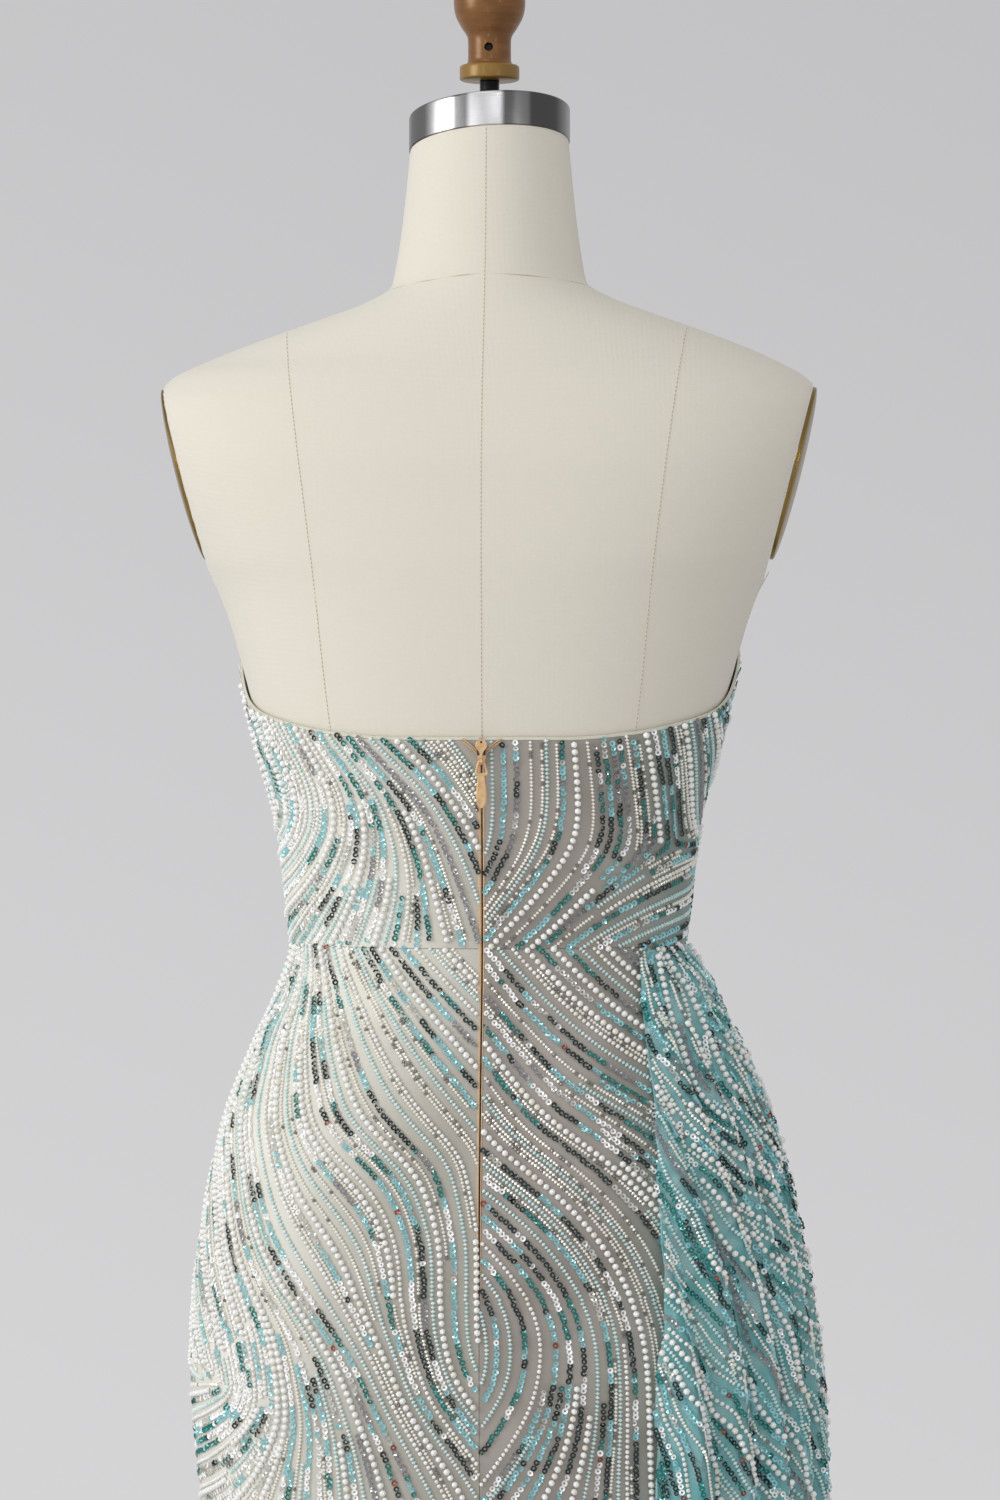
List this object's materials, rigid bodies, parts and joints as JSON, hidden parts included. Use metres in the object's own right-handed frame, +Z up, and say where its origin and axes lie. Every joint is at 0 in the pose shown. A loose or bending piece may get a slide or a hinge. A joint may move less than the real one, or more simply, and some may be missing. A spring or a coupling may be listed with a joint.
{
  "type": "evening gown on dress form",
  "caption": "Strapless fitted beaded gown with a centre-back zip and a gathered side drape, standing on a limbless dress form with a neck cap, knob, arm plates and a round base.",
  "frame": {"origin": "centre of the stand base's underside, on the pole's axis", "axes": "+Z up along the pole, -Y towards the gown's back and its zip, +Y towards its front, +X towards the wearer's right, where the side drape hangs"},
  "size_m": [0.5982, 0.4798, 1.6672],
  "materials": {
    "beaded_tulle": "fine mesh under rows of pearls, seed beads and sequins",
    "aqua_tulle": "sheer mesh with rows of beads",
    "binding": "smooth bias strip",
    "zip_tape": "satin nylon coil",
    "gilt_metal": "satin gilt",
    "linen": "plain weave linen",
    "steel": "brushed",
    "brass": "polished",
    "bronze": "dark bronze",
    "black_metal": "satin black"
  },
  "bodies": {
    "gown": {"bodice_back_left": "beaded_tulle", "bodice_back_right": "beaded_tulle", "bodice_front": "beaded_tulle", "skirt_back_left": "beaded_tulle", "skirt_back_right": "beaded_tulle", "skirt_front": "beaded_tulle", "side_drape": "aqua_tulle", "neckline_binding": "binding", "zip_chain": "zip_tape", "zip_slider": "gilt_metal", "form_torso": "linen", "form_neck_cap": "steel", "form_rod": "black_metal", "form_knob": "bronze", "form_plate_left": "brass", "form_plate_right": "brass", "stand_pole": "black_metal", "stand_base": "black_metal", "stand_hub": "black_metal"},
    "pull": {"zip_pull": "gilt_metal"}
  },
  "joints": [
    {"name": "zip_pull_hinge", "type": "hinge", "parent": "gown", "child": "pull", "pos_m": [0, -0.09864, 1.1734], "axis": [-1, 0, 0], "range_deg": [0, 150]}
  ]
}
